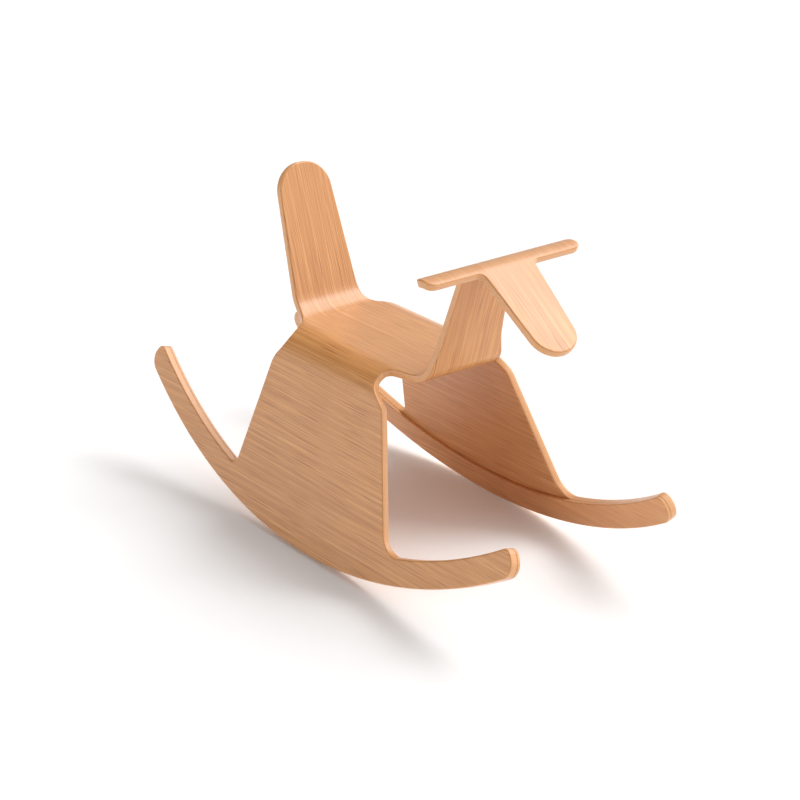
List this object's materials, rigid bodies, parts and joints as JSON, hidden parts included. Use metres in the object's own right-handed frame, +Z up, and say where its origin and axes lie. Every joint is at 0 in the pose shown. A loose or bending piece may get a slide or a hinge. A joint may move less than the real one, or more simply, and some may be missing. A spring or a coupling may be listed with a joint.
{
  "type": "rocking horse",
  "caption": "Child's rocking horse bent from one plywood sheet: seat with backrest, neck with handlebar and head, splayed sides on double-thickness rockers.",
  "frame": {"origin": "On the floor, under the middle of the horse's length and width.", "axes": "+X to the horse's head, +Y to its left, +Z up."},
  "size_m": [0.8902, 0.372, 0.5032],
  "materials": {
    "face_veneer": "satin clear lacquer on oak-like veneer",
    "rocker_veneer": "satin clear lacquer on oak-like veneer"
  },
  "bodies": {
    "root": {"moulded_shell": "face_veneer", "inner_rocker_left": "rocker_veneer", "inner_rocker_right": "rocker_veneer"}
  },
  "joints": []
}
